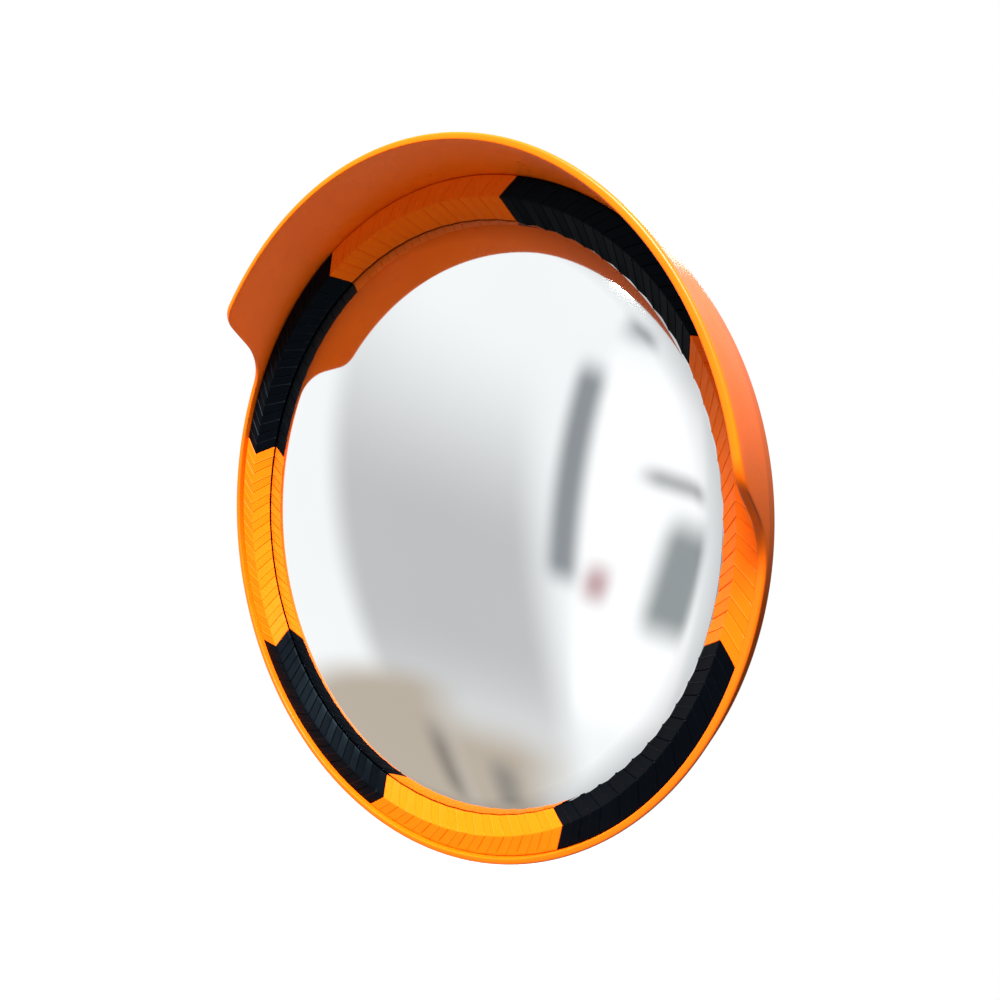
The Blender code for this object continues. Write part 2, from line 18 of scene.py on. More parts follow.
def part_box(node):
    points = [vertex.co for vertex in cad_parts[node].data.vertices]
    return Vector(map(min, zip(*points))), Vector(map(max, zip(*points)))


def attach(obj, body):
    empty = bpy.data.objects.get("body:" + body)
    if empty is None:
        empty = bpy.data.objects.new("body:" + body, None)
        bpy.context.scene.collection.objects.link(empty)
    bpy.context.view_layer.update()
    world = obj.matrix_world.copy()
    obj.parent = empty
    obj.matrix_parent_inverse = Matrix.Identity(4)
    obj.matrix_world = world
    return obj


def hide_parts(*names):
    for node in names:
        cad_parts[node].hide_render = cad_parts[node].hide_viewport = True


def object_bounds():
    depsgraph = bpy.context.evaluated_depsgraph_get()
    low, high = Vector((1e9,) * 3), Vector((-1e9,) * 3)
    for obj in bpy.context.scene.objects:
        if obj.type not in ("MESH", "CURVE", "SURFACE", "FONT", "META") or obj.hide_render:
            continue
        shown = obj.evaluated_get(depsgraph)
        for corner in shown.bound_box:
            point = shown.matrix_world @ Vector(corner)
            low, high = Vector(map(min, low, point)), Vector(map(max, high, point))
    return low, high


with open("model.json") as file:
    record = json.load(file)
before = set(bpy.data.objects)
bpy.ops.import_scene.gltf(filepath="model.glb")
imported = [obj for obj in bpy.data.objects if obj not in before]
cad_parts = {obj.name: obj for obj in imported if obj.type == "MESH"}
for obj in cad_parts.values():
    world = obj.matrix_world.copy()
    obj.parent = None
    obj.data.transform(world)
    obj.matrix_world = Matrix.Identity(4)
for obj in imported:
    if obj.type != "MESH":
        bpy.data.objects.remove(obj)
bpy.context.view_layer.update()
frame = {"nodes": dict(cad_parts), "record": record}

MM = 0.001

# --- the head's profile, as the CAD nodes have it ------------------------------
LIP_IN_R = 336.5
LIP_OUT_R = 343.3
LIP_F = 21.6
REAR_EDGE_R = 338.0
REAR_EDGE_F = -9.2
WALL_T = 3.2
PAN_NECK_R = 309.0
PAN_SHOULDER_R = 298.0
PAN_SHOULDER_F = -24.0
HUB_R = 110.0
HUB_F = -50.0
HOOD_F = 84.3
HOOD_FLARE = 0.115
HOOD_HALF_ANGLE = 65.8
HOOD_FLANK = 56.0
HOOD_CORNER_R = 32.0
HOOD_FOOT_R = 58.0
RIDGE_R = 316.8
RIDGE_F = 15.7
RING_IN_R = 300.5
RING_OUT_R = 336.0
RING_T = 2.5
RING_LEG_F = -5.7
FIRST_JOINT_DEG = 92.3
CHEVRON_IN_DEG = -2.65
CHEVRON_OUT_DEG = -3.0
SEGMENT_DEG = 45.0
MIRROR_R = 300.0
DOME_R = 890.0
MIRROR_T = 2.0
FLANGE_F = -1.6
FLANGE_R = 320.0
# the rear face of the mirror's flange fixes where f is zero
FACE_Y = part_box("mirror_dome")[1].y / MM + FLANGE_F - MIRROR_T

# --- details finer than the CAD --------------------------------------------------
WAVES = 10                    # corrugations on a segment
WAVE_H = 0.14                 # half height of a corrugation
GROOVE_H = 0.75               # sharp line in each valley
BEAD_H = 0.50                 # sharp line on each crest
WAVE_STOPS = (0.0, 0.012, 0.035, 0.12, 0.25, 0.38, 0.465, 0.488,
              0.5, 0.512, 0.535, 0.62, 0.75, 0.88, 0.965, 0.988)
SCALLOP = 0.45                # the ring's inner edge steps in and out with each wave
JOINT_TRIM = 0.012            # of a wave, left open at each end of a segment
RIBS = 12                     # stiffening ribs on the back pan
RIB_H = 3.0
RIB_HALF_DEG = 0.95
RIB_FROM_R = 134.0
RIB_TO_R = 280.0
HOOP_IN_R = 205.0             # the hoop that crosses the ribs
HOOP_OUT_R = 209.0
RIM_DROP = 0.7                # the dome turns down a little more at its rim
RIM_DROP_FROM = 280.0
LINE_WIDTH = 0.035            # of a wave, for the groove and the bead
FINE_SIDES = 48               # around a bolt, nut, washer or screw

# --- fasteners, by thread --------------------------------------------------------
ACROSS = {"M8": 13.0, "M12": 18.0}
SHANK_R = {"M8": 4.0, "M12": 6.0}
PITCH = {"M8": 1.25, "M12": 1.75}
HEAD_H = {"M8": 5.3, "M12": 7.5}
AXES = {"x": 0, "y": 1, "z": 2}

# --- camera and stage; metres, degrees and watts ---------------------------------
CAMERA_FROM_FACE = (0.51721, -0.61009, 0.19731)
CAMERA_TURN = 36.04
CAMERA_RISE = 15.96
CAMERA_ROLL = 14.03
CAMERA_LENS_MM = 28.477
CAMERA_SHIFT = (0.0060, 0.0674)
FLOOR_DROP = 1.5              # from the lowest point down to the floor
FLOOR_R = 6.0
KEY_DIRECTION = (-0.02, -0.57, 0.82)
KEY_DISTANCE = 3.2
REAR_SPOT = (-1.9, 2.5, 0.5)
LOW_SPOT = (-0.5, -3.0, -0.6)
FILL_LIGHT = 0.175
GLOSS_LIGHT = 1.02
KEY_WATTS = 400.0
REAR_WATTS = 110.0
LOW_WATTS = 18.0


# --- meshes ------------------------------------------------------------------------

def head_point(r, angle_deg, f):
    a = math.radians(angle_deg)
    return (r * math.cos(a), FACE_Y - f, r * math.sin(a))


def grid_faces(rows, columns, wrap_rows=False, wrap_columns=False):
    faces = []
    for i in range(rows if wrap_rows else rows - 1):
        n = (i + 1) % rows
        for j in range(columns if wrap_columns else columns - 1):
            m = (j + 1) % columns
            faces.append((i * columns + j, i * columns + m, n * columns + m, n * columns + j))
    return faces


def new_object(name, verts, faces, material, sharp_deg=40.0):
    """A smooth-shaded mesh object; verts are in millimetres."""
    mesh = bpy.data.meshes.new(name)
    mesh.from_pydata([tuple(c * MM for c in v) for v in verts], [], faces)
    builder = bmesh.new()
    builder.from_mesh(mesh)
    bmesh.ops.recalc_face_normals(builder, faces=builder.faces)
    builder.to_mesh(mesh)
    builder.free()
    mesh.shade_smooth()
    mesh.set_sharp_from_angle(angle=math.radians(sharp_deg))
    item = bpy.data.objects.new(name, mesh)
    bpy.context.scene.collection.objects.link(item)
    mesh.materials.append(material)
    return item


def piece(item, body, slot, *nodes):
    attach(item, body)
    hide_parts(*nodes)
    return item


def rounded_path(corners, closed=False):
    """A polyline of (x, y, corner radius, corner steps, points on the run after it)."""
    points = []
    count = len(corners)
    for k, (x, y, radius, steps, run) in enumerate(corners):
        here = np.array((x, y), float)
        before = np.array(corners[k - 1][:2], float)
        after = np.array(corners[(k + 1) % count][:2], float)
        end_of_path = not closed and k in (0, count - 1)
        if radius == 0.0 or end_of_path:
            points.append((tuple(here), run))
            continue
        to_before = (before - here) / np.linalg.norm(before - here)
        to_after = (after - here) / np.linalg.norm(after - here)
        cosine = float(np.clip(to_before @ to_after, -1.0, 1.0))
        if cosine < -0.99999:
            for s in range(steps + 1):
                spot = here + to_after * (0.4 * (s - steps / 2.0) / steps)
                points.append((tuple(spot), run if s == steps else 0))
            continue
        half = math.acos(cosine) / 2.0
        reach = radius / math.tan(half)
        start = here + to_before * reach
        end = here + to_after * reach
        middle = here + (to_before + to_after) / np.linalg.norm(to_before + to_after) \
            * radius / math.sin(half)
        a0 = math.atan2(*(start - middle)[::-1])
        a1 = math.atan2(*(end - middle)[::-1])
        turn = (a1 - a0 + math.pi) % (2.0 * math.pi) - math.pi
        for s in range(steps + 1):
            a = a0 + turn * s / steps
            spot = (middle[0] + radius * math.cos(a), middle[1] + radius * math.sin(a))
            points.append((spot, run if s == steps else 0))
    path = []
    total = len(points) if closed else len(points) - 1
    for k in range(total):
        (x, y), run = points[k]
        (u, v), _ = points[(k + 1) % len(points)]
        path.append((x, y))
        for s in range(1, run + 1):
            t = s / (run + 1.0)
            path.append((x + (u - x) * t, y + (v - y) * t))
    if not closed:
        path.append(points[-1][0])
    return path


def hood_edge_f(angle_deg):
    """Depth of the housing's front edge: the hood, its flank and the lip."""
    away = abs((angle_deg - 90.0 + 180.0) % 360.0 - 180.0)
    rim_r = LIP_OUT_R + (HOOD_F - LIP_F) * HOOD_FLARE / 2.0
    s = rim_r * math.radians(away)
    slope = math.radians(HOOD_FLANK)
    corner = rim_r * math.radians(HOOD_HALF_ANGLE)
    foot = corner + (HOOD_F - LIP_F) / math.tan(slope)
    corner_start = corner - HOOD_CORNER_R * math.tan(slope / 2.0)
    corner_end = corner_start + HOOD_CORNER_R * math.sin(slope)
    foot_end = foot + HOOD_FOOT_R * math.tan(slope / 2.0)
    foot_start = foot_end - HOOD_FOOT_R * math.sin(slope)
    if s <= corner_start:
        return HOOD_F
    if s < corner_end:
        return HOOD_F - HOOD_CORNER_R + math.sqrt(HOOD_CORNER_R ** 2 - (s - corner_start) ** 2)
    if s < foot_start:
        return HOOD_F - (s - corner) * math.tan(slope)
    if s < foot_end:
        return LIP_F + HOOD_FOOT_R - math.sqrt(HOOD_FOOT_R ** 2 - (foot_end - s) ** 2)
    return LIP_F


def bump_between(x, low, high, soft):
    """1 between low and high, falling smoothly to 0 over soft on each side."""
    t = min((x - low) / soft, (high - x) / soft) + 1.0
    t = max(0.0, min(1.0, t))
    return t * t * (3.0 - 2.0 * t)


def rib_height(r, angle_deg):
    pitch = 360.0 / RIBS
    off = abs((angle_deg + pitch / 2.0) % pitch - pitch / 2.0)
    spoke = bump_between(off, -1.0, RIB_HALF_DEG * 0.5, RIB_HALF_DEG * 0.5)
    spoke *= bump_between(r, RIB_FROM_R, RIB_TO_R, 14.0)
    hoop = bump_between(r, HOOP_IN_R, HOOP_OUT_R, 3.0)
    return RIB_H * max(spoke, 0.75 * hoop)


def housing_angles():
    angles = set(round(k * 0.75, 3) for k in range(480))
    pitch = 360.0 / RIBS
    for k in range(RIBS):
        for off in (0.25, 0.475, 0.6, 0.72, 0.84, 0.95):
            angles.add(round((k * pitch + off) % 360.0, 3))
            angles.add(round((k * pitch - off) % 360.0, 3))
    for k in range(72):
        for side in (-1.0, 1.0):
            angles.add(round((90.0 + side * (62.0 + 0.25 * k)) % 360.0, 3))
    return sorted(angles)


def build_housing(material):
    ledge = REAR_EDGE_F + WALL_T
    angles = housing_angles()
    verts = []
    for angle in angles:
        edge = hood_edge_f(angle)
        flare = (edge - LIP_F) * HOOD_FLARE
        corners = [
            (4.0, HUB_F + WALL_T, 0.0, 0, 2),
            (HUB_R - 2.0, HUB_F + WALL_T, 4.0, 2, 2),
            (PAN_SHOULDER_R - WALL_T, PAN_SHOULDER_F + WALL_T, 5.0, 3, 1),
            (PAN_NECK_R - WALL_T, ledge, 2.0, 2, 1),
            (LIP_IN_R, ledge, 1.0, 2, 1),
            (LIP_IN_R, RIDGE_F + 1.5, 2.0, 3, 6),
            (LIP_IN_R + flare, edge, 1.3, 4, 1),
            (LIP_OUT_R + flare, edge, 2.6, 6, 6),
            (LIP_OUT_R, LIP_F - 4.0, 4.0, 3, 3),
            (REAR_EDGE_R, REAR_EDGE_F, 2.2, 4, 2),
            (PAN_NECK_R, REAR_EDGE_F, 2.0, 3, 2),
            (PAN_SHOULDER_R, PAN_SHOULDER_F, 7.0, 4, 24),
            (HUB_R, HUB_F, 5.0, 3, 2),
            (4.0, HUB_F, 0.0, 0, 0),
        ]
        path = rounded_path(corners)
        for k, (r, f) in enumerate(path):
            outside = k > len(path) / 2 and HUB_R + 6.0 < r < PAN_SHOULDER_R - 4.0
            if outside:
                f -= rib_height(r, angle)
            verts.append(head_point(r, angle, f))
    columns = len(path)
    faces = grid_faces(len(angles), columns, wrap_rows=True)
    faces.append(tuple(s * columns for s in range(len(angles))))
    faces.append(tuple(s * columns + columns - 1 for s in range(len(angles))))
    shell = new_object("hooded_shell", verts, faces, material, 50.0)
    return piece(shell, "mirror_head", "orange_shell", "housing_shell")


def chevron_shift(r):
    if r <= RIDGE_R:
        return CHEVRON_IN_DEG * (RIDGE_R - r) / (RIDGE_R - RING_IN_R)
    return CHEVRON_OUT_DEG * (r - RIDGE_R) / (RING_OUT_R - RIDGE_R)


def wave_height(u):
    """Relief of the corrugation; valleys at whole numbers, crests half way."""
    from_valley = 0.5 - abs(u % 1.0 - 0.5)
    height = WAVE_H * (4.0 * from_valley - 1.0)
    if from_valley < LINE_WIDTH:
        height -= GROOVE_H * (1.0 - from_valley / LINE_WIDTH)
    if from_valley > 0.5 - LINE_WIDTH:
        height += BEAD_H * (from_valley - 0.5 + LINE_WIDTH) / LINE_WIDTH
    return height


def build_segments(orange, black):
    lean = math.atan2(RIDGE_F - 1.4, RIDGE_R - RING_IN_R)
    front = rounded_path([
        (RING_IN_R, 0.5, 0.0, 0, 0),
        (RING_IN_R, 1.4, 0.35, 2, 7),
        (RIDGE_R, RIDGE_F, 2.0, 5, 7),
        (RING_OUT_R, RIDGE_F, 0.9, 3, 1),
        (RING_OUT_R, RING_LEG_F, 0.0, 0, 0),
    ])
    back_in = RING_OUT_R - RING_T
    back = rounded_path([
        (RING_IN_R + 1.2 * RING_T, 0.5, 0.0, 0, 0),
        (RING_IN_R + 1.3 * RING_T, 0.7, 0.2, 2, 7),
        (RIDGE_R + 0.45 * RING_T, RIDGE_F - RING_T, 1.0, 5, 7),
        (back_in, RIDGE_F - RING_T, 0.9, 3, 1),
        (back_in, RING_LEG_F, 0.0, 0, 0),
    ])
    loop = front + back[::-1]
    n = len(loop)
    stops = [JOINT_TRIM]
    for wave in range(WAVES):
        stops += [wave + s for s in WAVE_STOPS if wave + s > JOINT_TRIM]
    stops.append(WAVES - JOINT_TRIM)
    stops = sorted(set(stops))
    for k in range(8):
        verts = []
        for u in stops:
            for j, (r, f) in enumerate(loop):
                if j < len(front):
                    height = wave_height(u)
                    height *= bump_between(r, -1.0, RING_OUT_R - 2.0, 1.6)
                    if f < 0.6:
                        height = 0.0
                    slope = lean if r < RIDGE_R - 1.0 else 0.0
                    r_out, f_out = r - height * math.sin(slope), f + height * math.cos(slope)
                    if r < RING_IN_R + 1.0:
                        f_out = max(f_out, 0.9)
                    near_edge = bump_between(r, -1.0, RING_IN_R + 1.0, 5.0)
                    r_out += SCALLOP * near_edge * (1.0 - 4.0 * abs((u + 0.5) % 1.0 - 0.5)) / 2.0
                else:
                    r_out, f_out = r, f
                angle = FIRST_JOINT_DEG + (k + u / WAVES) * SEGMENT_DEG + chevron_shift(r)
                verts.append(head_point(r_out, angle, f_out))
        faces = grid_faces(len(stops), n, wrap_columns=True)
        half = len(front)
        for start in (0, (len(stops) - 1) * n):
            for j in range(half - 1):
                faces.append((start + j, start + j + 1, start + n - 2 - j, start + n - 1 - j))
        is_orange = k % 2 == 0
        item = new_object("chevron_segment_%d" % (k + 1), verts, faces,
                          orange if is_orange else black, 22.0)
        slot = "orange_segment" if is_orange else "black_segment"
        piece(item, "mirror_head", slot, "edge_segment_%d" % (k + 1))


def build_mirror(material):
    drop = math.sqrt(DOME_R ** 2 - MIRROR_R ** 2)
    sides, rings = 288, 72
    outline = []
    for k in range(rings + 1):
        r = 0.6 + (303.0 - 0.6) * k / rings
        f = math.sqrt(DOME_R ** 2 - r ** 2) - drop
        beyond = max(0.0, r - RIM_DROP_FROM) / (MIRROR_R - RIM_DROP_FROM)
        outline.append((r, f + RIM_DROP * (1.0 - beyond ** 2)))
    outline += [(304.2, -0.6), (304.9, -1.2), (305.9, FLANGE_F), (FLANGE_R - 0.5, FLANGE_F),
                (FLANGE_R, FLANGE_F - 0.5), (FLANGE_R, FLANGE_F - MIRROR_T)]
    outline += [(r, f - MIRROR_T) for r, f in reversed(outline[:-3])]
    verts = []
    for s in range(sides):
        verts += [head_point(r, 360.0 * s / sides, f) for r, f in outline]
    n = len(outline)
    faces = grid_faces(sides, n, wrap_rows=True)
    faces.append(tuple(s * n for s in range(sides)))
    faces.append(tuple(s * n + n - 1 for s in range(sides)))
    dome = new_object("mirror_lens", verts, faces, material, 60.0)
    return piece(dome, "mirror_head", "mirror_face", "mirror_dome")


def turned(name, rings, material, sharp_deg, hollow):
    """Rings of (radius or radius(angle), height) around local Z.

    A hollow shape joins its last ring to its first; a full one has capped ends.
    """
    sides = FINE_SIDES
    verts = []
    for radius, height in rings:
        for k in range(sides):
            a = 2.0 * math.pi * k / sides
            r = radius(a) if callable(radius) else radius
            verts.append((r * math.cos(a), r * math.sin(a), height))
    faces = grid_faces(len(rings), sides, wrap_rows=hollow, wrap_columns=True)
    if not hollow:
        faces.append(tuple(range(sides)))
        faces.append(tuple((len(rings) - 1) * sides + k for k in range(sides)))
    return new_object(name, verts, faces, material, sharp_deg)


def hexagon(across, limit=None):
    """Radius of a hexagon by angle, cut by a round chamfer of radius limit."""
    def radius(angle):
        sector = math.radians(60.0)
        r = across / 2.0 / math.cos((angle % sector) - sector / 2.0)
        return r if limit is None else min(r, limit)
    return radius


def chamfered_hex(across, low, high, chamfer_low, chamfer_high):
    corner = across / 2.0 / math.cos(math.radians(30.0))
    flat = across / 2.0
    rings = []
    if chamfer_low:
        rings += [(flat * 0.95, low), (hexagon(across, flat * 0.97), low + 0.10)]
        rings += [(hexagon(across, corner - (corner - flat) * t), low + 0.10 + 1.1 * (1.0 - t))
                  for t in (0.75, 0.5, 0.25, 0.0)]
    else:
        rings += [(hexagon(across), low)]
    if chamfer_high:
        rings += [(hexagon(across, corner - (corner - flat) * t), high - 0.10 - 1.1 * (1.0 - t))
                  for t in (0.0, 0.25, 0.5, 0.75)]
        rings += [(hexagon(across, flat * 0.97), high - 0.10), (flat * 0.95, high)]
    else:
        rings += [(hexagon(across), high)]
    return rings


def thread(radius, pitch, low, high):
    """Stacked turns from high down to low, with a chamfered tip at low."""
    depth = 0.55 * pitch
    rings = []
    z = high
    while z - pitch > low + depth:
        rings += [(radius, z), (radius, z - 0.12 * pitch),
                  (radius - depth, z - 0.5 * pitch), (radius - depth, z - 0.62 * pitch)]
        z -= pitch
    rings += [(radius - 0.1, z), (radius - depth, low + 0.2), (radius - depth - 0.3, low)]
    return rings


def stand_along(item, node, axis, up_is_high):
    """Turns local Z along a world axis, local 0 at the low end of the node."""
    low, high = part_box(node)
    middle = (low + high) / 2.0
    index = AXES[axis]
    direction = Vector((0.0, 0.0, 0.0))
    direction[index] = 1.0 if up_is_high else -1.0
    start = middle.copy()
    start[index] = low[index] if up_is_high else high[index]
    turn = direction.to_track_quat("Z", "X" if axis != "x" else "Y").to_matrix().to_4x4()
    item.data.transform(Matrix.Translation(start) @ turn)


def node_length(node, axis):
    low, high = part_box(node)
    return (high - low)[AXES[axis]] / MM


def fine_bolt(node, body, axis, head_is_high, size, material):
    total = node_length(node, axis)
    across, r, head = ACROSS[size], SHANK_R[size], HEAD_H[size]
    under = total - head
    rings = thread(r, PITCH[size], 0.0, 0.45 * under)[::-1]
    rings += [(r - 0.15, 0.47 * under), (r, 0.48 * under), (r, under - 0.01)]
    rings += [(across * 0.47, under), (across * 0.47, under + 0.35)]
    rings += chamfered_hex(across, under + 0.36, total, False, True)
    rings += [(across * 0.30, total), (across * 0.28, total - 0.25)]
    item = turned(node + "_fine", rings, material, 28.0, False)
    stand_along(item, node, axis, head_is_high)
    return piece(item, body, "zinc_steel", node)


def fine_nut(node, body, axis, size, material):
    total = node_length(node, axis)
    across, bore = ACROSS[size], SHANK_R[size] + 0.3
    outside = chamfered_hex(across, 0.0, total, True, True)
    rings = [(bore, 0.6), (bore + 0.6, 0.0)] + outside + [(bore + 0.6, total), (bore, total - 0.6)]
    item = turned(node + "_fine", rings, material, 28.0, True)
    stand_along(item, node, axis, True)
    return piece(item, body, "zinc_steel", node)


def fine_washer(node, body, axis, material):
    low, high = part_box(node)
    total = node_length(node, axis)
    spans = sorted((high - low)[k] / MM for k in range(3))
    outer = spans[-1] / 2.0
    bore = outer / 2.0 + 0.3
    outline = rounded_path([(bore, 0.0, 0.2, 2, 0), (outer, 0.0, 0.5, 3, 0),
                            (outer, total, 0.5, 3, 0), (bore, total, 0.2, 2, 0)], closed=True)
    item = turned(node + "_fine", outline, material, 40.0, True)
    stand_along(item, node, axis, True)
    return piece(item, body, "zinc_steel", node)


def fine_screw(node, material):
    """Pan-head screw with a cross recess, its head at the rear of the ledge."""
    total = node_length(node, "y")
    head_r, shank_r, head_h = 4.0, 1.6, 2.4

    def crossed(depth_r):
        def radius(angle):
            arm = abs(math.sin(2.0 * angle))
            return depth_r * (0.30 + 0.70 * max(0.0, 1.0 - 3.2 * arm))
        return radius

    shank = total - head_h
    rings = [(0.3, 0.0), (shank_r * 0.6, 1.2)]
    z = 1.2
    while z < shank - 2.4:
        rings += [(shank_r, z + 0.4), (shank_r * 0.72, z + 0.9)]
        z += 1.1
    rings += [(shank_r, shank - 1.0), (shank_r, shank), (head_r * 0.98, shank),
              (head_r, shank + 0.4), (head_r, shank + 1.0), (head_r * 0.86, shank + 1.8),
              (head_r * 0.62, total), (crossed(2.1), total - 0.02), (crossed(1.7), total - 1.3),
              (0.2, total - 1.5)]
    item = turned(node + "_fine", rings, material, 40.0, False)
    stand_along(item, node, "y", True)
    return piece(item, "mirror_head", "zinc_steel", node)


def cast_copy(node, material):
    """The knuckle with the soft edges and fillets of a sand casting."""
    item = bpy.data.objects.new("cast_link", frame["nodes"][node].data.copy())
    bpy.context.scene.collection.objects.link(item)
    weld = item.modifiers.new("weld", "WELD")
    weld.merge_threshold = 0.00001
    remesh = item.modifiers.new("remesh", "REMESH")
    remesh.mode = "VOXEL"
    remesh.voxel_size = 0.9 * MM
    remesh.use_smooth_shade = True
    soften = item.modifiers.new("soften", "SMOOTH")
    soften.factor = 0.5
    soften.iterations = 7
    graph = bpy.context.evaluated_depsgraph_get()
    mesh = bpy.data.meshes.new_from_object(item.evaluated_get(graph))
    item.modifiers.clear()
    item.data = mesh
    mesh.name = "cast_link"
    mesh.materials.clear()
    mesh.materials.append(material)
    return piece(item, "knuckle", "casting", node)


# --- node materials -----------------------------------------------------------------

class NodeTree:
    """Short calls for nodes that materials and the studio share."""

    def link(self, a, b):
        self.tree.links.new(a, b)

    def maths(self, operation, a, b):
        node = self.tree.nodes.new("ShaderNodeMath")
        node.operation = operation
        for socket, value in zip(node.inputs, (a, b)):
            if isinstance(value, (int, float)):
                socket.default_value = value
            else:
                self.link(value, socket)
        return node.outputs["Value"]

    def ranged(self, value, low, high, out_low, out_high, smooth=False):
        node = self.tree.nodes.new("ShaderNodeMapRange")
        if smooth:
            node.interpolation_type = "SMOOTHSTEP"
        self.link(value, node.inputs["Value"])
        for key, number in zip(("From Min", "From Max", "To Min", "To Max"),
                               (low, high, out_low, out_high)):
            node.inputs[key].default_value = number
        return node.outputs["Result"]

    def mixed(self, factor, a, b):
        node = self.tree.nodes.new("ShaderNodeMix")
        node.data_type = "RGBA"
        self.link(factor, node.inputs[0])
        for socket, value in ((node.inputs[6], a), (node.inputs[7], b)):
            if isinstance(value, tuple):
                socket.default_value = (*value, 1.0)
            else:
                self.link(value, socket)
        return node.outputs[2]


class Paint(NodeTree):
    """A node material."""

    def __init__(self, name):
        self.material = bpy.data.materials.new(name)
        self.material.use_nodes = True
        self.tree = self.material.node_tree
        self.shader = self.tree.nodes["Principled BSDF"]
        coordinates = self.tree.nodes.new("ShaderNodeTexCoord")
        self.place = coordinates.outputs["Object"]

    def set(self, **values):
        for key, value in values.items():
            self.shader.inputs[key.replace("_", " ")].default_value = value

    def noise(self, scale, detail=3.0, rough=0.5, distortion=0.0, stretch=None):
        node = self.tree.nodes.new("ShaderNodeTexNoise")
        node.inputs["Scale"].default_value = scale
        node.inputs["Detail"].default_value = detail
        node.inputs["Roughness"].default_value = rough
        node.inputs["Distortion"].default_value = distortion
        place = self.place
        if stretch:
            mapping = self.tree.nodes.new("ShaderNodeMapping")
            mapping.inputs["Scale"].default_value = stretch
            self.link(self.place, mapping.inputs["Vector"])
            place = mapping.outputs["Vector"]
        self.link(place, node.inputs["Vector"])
        return node.outputs["Fac"]

    def cells(self, scale):
        node = self.tree.nodes.new("ShaderNodeTexVoronoi")
        node.feature = "F1"
        node.inputs["Scale"].default_value = scale
        self.link(self.place, node.inputs["Vector"])
        return node.outputs["Color"]

    def radius(self):
        """Distance from the mirror's axis, in metres."""
        flat = self.tree.nodes.new("ShaderNodeVectorMath")
        flat.operation = "MULTIPLY"
        flat.inputs[1].default_value = (1.0, 0.0, 1.0)
        self.link(self.place, flat.inputs[0])
        length = self.tree.nodes.new("ShaderNodeVectorMath")
        length.operation = "LENGTH"
        self.link(flat.outputs["Vector"], length.inputs[0])
        return length.outputs["Value"]

    def bump(self, heights):
        """heights: (value, strength, distance in millimetres), chained."""
        normal = None
        for value, strength, distance in heights:
            node = self.tree.nodes.new("ShaderNodeBump")
            node.inputs["Strength"].default_value = strength
            node.inputs["Distance"].default_value = distance * MM
            self.link(value, node.inputs["Height"])
            if normal:
                self.link(normal, node.inputs["Normal"])
            normal = node.outputs["Normal"]
        self.link(normal, self.shader.inputs["Normal"])


def plastic(name, colour, deep, pale, rough, specular, fade, tint=(1.0, 1.0, 1.0)):
    """Moulded plastic: faint flow mottling, orange peel, fine scratches and dust."""
    paint = Paint(name)
    flow = paint.ranged(paint.noise(5.0, 4.0, 0.55, 1.2), 0.35, 0.65, 0.0, 1.0)
    body = paint.mixed(flow, colour, deep)
    dust = paint.ranged(paint.noise(38.0, 6.0, 0.7, 0.4), 0.56, 0.80, 0.0, fade)
    body = paint.mixed(dust, body, pale)
    scuffs = paint.ranged(paint.noise(160.0, 2.0, 0.5, 2.5, (1.0, 1.0, 0.12)), 0.66, 0.74, 0.0, 1.0)
    spread = paint.ranged(paint.noise(24.0, 5.0, 0.6), 0.3, 0.7, rough - 0.05, rough + 0.07)
    rough_all = paint.maths("ADD", spread, paint.maths("MULTIPLY", scuffs, 0.05))
    paint.link(body, paint.shader.inputs["Base Color"])
    paint.link(rough_all, paint.shader.inputs["Roughness"])
    paint.set(Specular_IOR_Level=specular)
    paint.shader.inputs["Specular Tint"].default_value = (*tint, 1.0)
    paint.bump([
        (paint.noise(420.0, 2.0, 0.4), 0.20, 0.10),
        (paint.noise(2600.0, 2.0, 0.6), 0.22, 0.05),
    ])
    return paint.material


def mirror_coat():
    paint = Paint("mirror_coat")
    haze = paint.ranged(paint.noise(9.0, 5.0, 0.6, 0.6), 0.35, 0.75, 0.035, 0.06)
    specks = paint.ranged(paint.noise(700.0, 3.0, 0.7), 0.72, 0.80, 0.0, 0.10)
    paint.link(paint.maths("ADD", haze, specks), paint.shader.inputs["Roughness"])
    tone = paint.ranged(paint.noise(3.0, 3.0), 0.3, 0.7, 0.0, 1.0)
    body = paint.mixed(tone, (0.93, 0.945, 0.95), (0.90, 0.915, 0.925))
    # painted shade: from 279 to 300 mm off the axis the mirror's colour darkens to grey, so its
    # reflection dims towards the rim
    rim = paint.ranged(paint.radius(), 0.279, 0.300, 0.0, 1.0)
    paint.link(paint.mixed(rim, body, (0.60, 0.61, 0.62)), paint.shader.inputs["Base Color"])
    paint.set(Metallic=1.0)
    paint.bump([(paint.noise(2.2, 1.0, 0.3), 0.05, 1.0)])
    return paint.material


def galvanised():
    """Hot-dip zinc: spangle cells, each with its own tone and roughness."""
    paint = Paint("hot_dip_zinc")
    cell = paint.cells(95.0)
    split = paint.tree.nodes.new("ShaderNodeSeparateColor")
    paint.link(cell, split.inputs[0])
    tone = paint.ranged(split.outputs[0], 0.0, 1.0, 0.0, 1.0)
    body = paint.mixed(tone, (0.30, 0.32, 0.335), (0.47, 0.49, 0.505))
    stain = paint.ranged(paint.noise(14.0, 6.0, 0.65, 0.5), 0.50, 0.75, 0.0, 0.7)
    body = paint.mixed(stain, body, (0.52, 0.53, 0.53))
    paint.link(body, paint.shader.inputs["Base Color"])
    rough = paint.ranged(split.outputs[1], 0.0, 1.0, 0.30, 0.52)
    rough = paint.maths("ADD", rough, paint.maths("MULTIPLY", stain, 0.2))
    paint.link(rough, paint.shader.inputs["Roughness"])
    paint.set(Metallic=0.85)
    paint.bump([
        (split.outputs[2], 0.10, 0.10),
        (paint.noise(260.0, 4.0, 0.6), 0.22, 0.20),
    ])
    return paint.material


